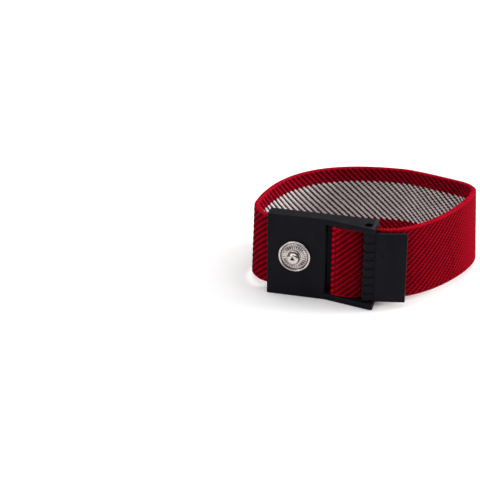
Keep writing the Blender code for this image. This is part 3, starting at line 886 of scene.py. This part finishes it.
def make_stud():
    """The snap's male half: rolled rim, fluted flange, neck, and a round head with a three-cornered pit."""
    base = PLATE_FRONT + STUD_SEAT
    top = depth_of(STUD_LOW.y) - base - STUD_DROP
    profile = [(CROWN_R * step / (CROWN_ROWS - 1), top) for step in range(CROWN_ROWS)]
    profile += [(CROWN_R + (STUD_R - CROWN_R) * math.sin(a), top - 1.1 * (1 - math.cos(a)))
                for a in (math.radians(9 * step) for step in range(1, 11))]
    profile += [(1.93, 1.55), (1.82, 1.42), (1.70, 1.30), (1.67, 1.15), (1.70, 1.0), (1.80, 0.88)]
    profile += [(2.0, 0.82), (FLUTES_START, FLUTES_TOP)]
    fluted = len(profile)
    profile += [(FLUTES_START + FLUTES_WIDTH * step / 10, FLUTES_TOP - FLUTES_FALL * step / 10)
                for step in range(1, 11)]
    fluted_end = len(profile)
    profile += [(4.02, 0.40), (4.12, 0.34), (4.22, 0.34)]
    profile += [(FLANGE_R - RIM_R + RIM_R * math.cos(a), 0.5 + RIM_R * math.sin(a))
                for a in (math.radians(150 - 15 * step) for step in range(17))]
    profile += [(FLANGE_R - 0.6, 0.1), (FLANGE_R - 0.7, 0.0)]
    profile += [(SOCKET_R, 0.0), (SOCKET_R, SOCKET_DEPTH), (0.0, SOCKET_DEPTH)]
    profile = [(radius, base + height) for radius, height in profile]

    def relief(radius, angle, row):
        inside = (row >= fluted) & (row < fluted_end)
        fade = np.sin(np.clip((radius - FLUTES_START) / FLUTES_WIDTH, 0, 1) * math.pi)
        depth = np.clip(pit_depth(radius * np.cos(angle), radius * np.sin(angle)) / PIT_WALL, 0, 1)
        sunk = np.where(row < CROWN_ROWS, PIT_DEPTH * depth, 0.0)
        return np.where(inside, FLUTE_HEIGHT * fade * np.cos(FLUTES * angle), -sunk)

    mesh = turned_mesh("snap_stud_turned", profile, STUD_ALONG, STUD_LEVEL, SEGMENTS, relief)
    axis = place(STUD_ALONG, base + top, STUD_LEVEL)
    # the pit's faces take a dark nickel: painted dark reflection
    for polygon in mesh.polygons:
        away = polygon.center - axis
        in_pit = pit_depth(away.x / MM, away.z / MM) > 0 and abs(away.y) < 0.7 * MM
        polygon.material_index = int(in_pit)
    materials = [nickel_material("nickel_plate_fluted", fluted=True),
                 nickel_material("nickel_pit_reflection", PIT_REFLECTION_DARK, PIT_REFLECTION_LIGHT)]
    finished_object("snap_stud_turned", mesh, materials, "strap", ["snap_stud"])


def make_rivet():
    """The post through plate, band and skin plate; its rounded head lies on the wrist side."""
    tip, head = depth_of(RIVET_LOW.y), depth_of(RIVET_HIGH.y)
    under = head + RIVET_HEAD
    profile = [(0.0, tip), (RIVET_TIP_R, tip), (RIVET_R, tip - 0.3), (RIVET_R, under), (3.1, under)]
    profile += [(2.75 + 0.45 * math.cos(a), under - 0.25 - 0.45 * math.sin(a))
                for a in (math.radians(9 * step) for step in range(11))]
    profile += [(2.5, head), (1.0, head), (0.85, head + 0.05), (0.7, head + 0.2), (0.0, head + 0.2)]
    mesh = turned_mesh("snap_rivet_turned", profile, SNAP_ALONG, MID_HEIGHT, 96)
    finished_object("snap_rivet_turned", mesh, [nickel_material()], "strap", ["snap_rivet"])


def make_skin_plate():
    """Stainless plate with rounded corners, on the wrist side of the buckle."""
    start, end = along_of(SKIN_LOW.x), along_of(SKIN_HIGH.x)
    bottom, top = height_of(SKIN_LOW.z), height_of(SKIN_HIGH.z)
    outer, inner = depth_of(SKIN_LOW.y), depth_of(SKIN_HIGH.y)
    corner = SKIN_CORNER_R
    centres = ((end - corner, top - corner), (start + corner, top - corner),
               (start + corner, bottom + corner), (end - corner, bottom + corner))
    rim = []
    for quarter, centre in enumerate(centres):
        rim += arc(centre, corner, 90 * quarter, 90 * quarter + 90, 10)
    solid = bmesh.new()
    face = solid.faces.new([solid.verts.new(place(x, outer, z)) for x, z in rim])
    raised = bmesh.ops.extrude_face_region(solid, geom=[face])
    back = [item for item in raised["geom"] if isinstance(item, bmesh.types.BMVert)]
    bmesh.ops.translate(solid, verts=back, vec=(0, (outer - inner) * MM, 0))
    plate = helper_object("skin_plate_body", solid)
    round_edges(plate, 0.2, 3, 50.0)
    combine(plate, outward_cylinder(SNAP_ALONG, MID_HEIGHT, inner - 1, outer + 1, SKIN_HOLE_R))
    mesh = baked(plate)
    finished_object("skin_plate_pressed", mesh, [steel_material()], "strap", ["skin_plate"])


# ---------------------------------------------------------------- camera, light, floor

def make_camera():
    """A long lens, looking down on the strap from the front and a little from the cam's side.

    It stands that far in front of, above and beside the buckle's lower corner, in millimetres.
    """
    pitch, heading = 24.65, 15.63
    reach, lift, aside = 404.29, 200.95, -9.25
    turn = math.radians(heading)
    corner = place(0, 0, 0)
    data = bpy.data.cameras.new("camera")
    data.lens, data.sensor_width = 110.95, 36.0
    camera = bpy.data.objects.new("camera", data)
    camera.location = (corner.x + (aside * math.cos(turn) + reach * math.sin(turn)) * MM,
                       corner.y + (aside * math.sin(turn) - reach * math.cos(turn)) * MM,
                       corner.z + lift * MM)
    camera.rotation_euler = (math.radians(90 - pitch), 0, turn)
    bpy.context.scene.collection.objects.link(camera)
    bpy.context.scene.camera = camera


def area_light(name, position, target, size, power):
    data = bpy.data.lights.new(name, "AREA")
    data.shape, data.size, data.energy = "DISK", size, power
    light = bpy.data.objects.new(name, data)
    light.location = position
    light.rotation_euler = (Vector(target) - Vector(position)).to_track_quat("-Z", "Y").to_euler()
    bpy.context.scene.collection.objects.link(light)


def make_studio():
    """Pale floor, a dim surround, a very wide soft lamp overhead, and soft ones at the side and in front."""
    scene = bpy.context.scene
    scene.view_settings.view_transform = "Standard"
    world = bpy.data.worlds.new("studio")
    scene.world = world
    world.use_nodes = True
    background = world.node_tree.nodes["Background"]
    background.inputs["Color"].default_value = (1.0, 1.0, 1.0, 1.0)
    background.inputs["Strength"].default_value = WORLD_STRENGTH
    for name, position, size, power in LAMPS:
        area_light(name, position, LAMP_TARGET, size, power)
    mesh = bpy.data.meshes.new("floor")
    side = FLOOR_HALF
    low = FRAME_LOW.z - FLOOR_DROP
    corners = [(-side, -side, low), (side, -side, low), (side, side, low), (-side, side, low)]
    mesh.from_pydata(corners, [], [(0, 1, 2, 3)])
    floor = bpy.data.objects.new("floor", mesh)
    scene.collection.objects.link(floor)
    n = Nodes("pale_floor")
    n.set(Base_Color=FLOOR_WHITE, Roughness=0.6)
    n.shader.inputs["Specular IOR Level"].default_value = 0.1
    mesh.materials.append(n.material)


make_camera()
make_studio()
make_band()
make_stitches()
make_frame()
make_lever()
make_stud()
make_rivet()
make_skin_plate()
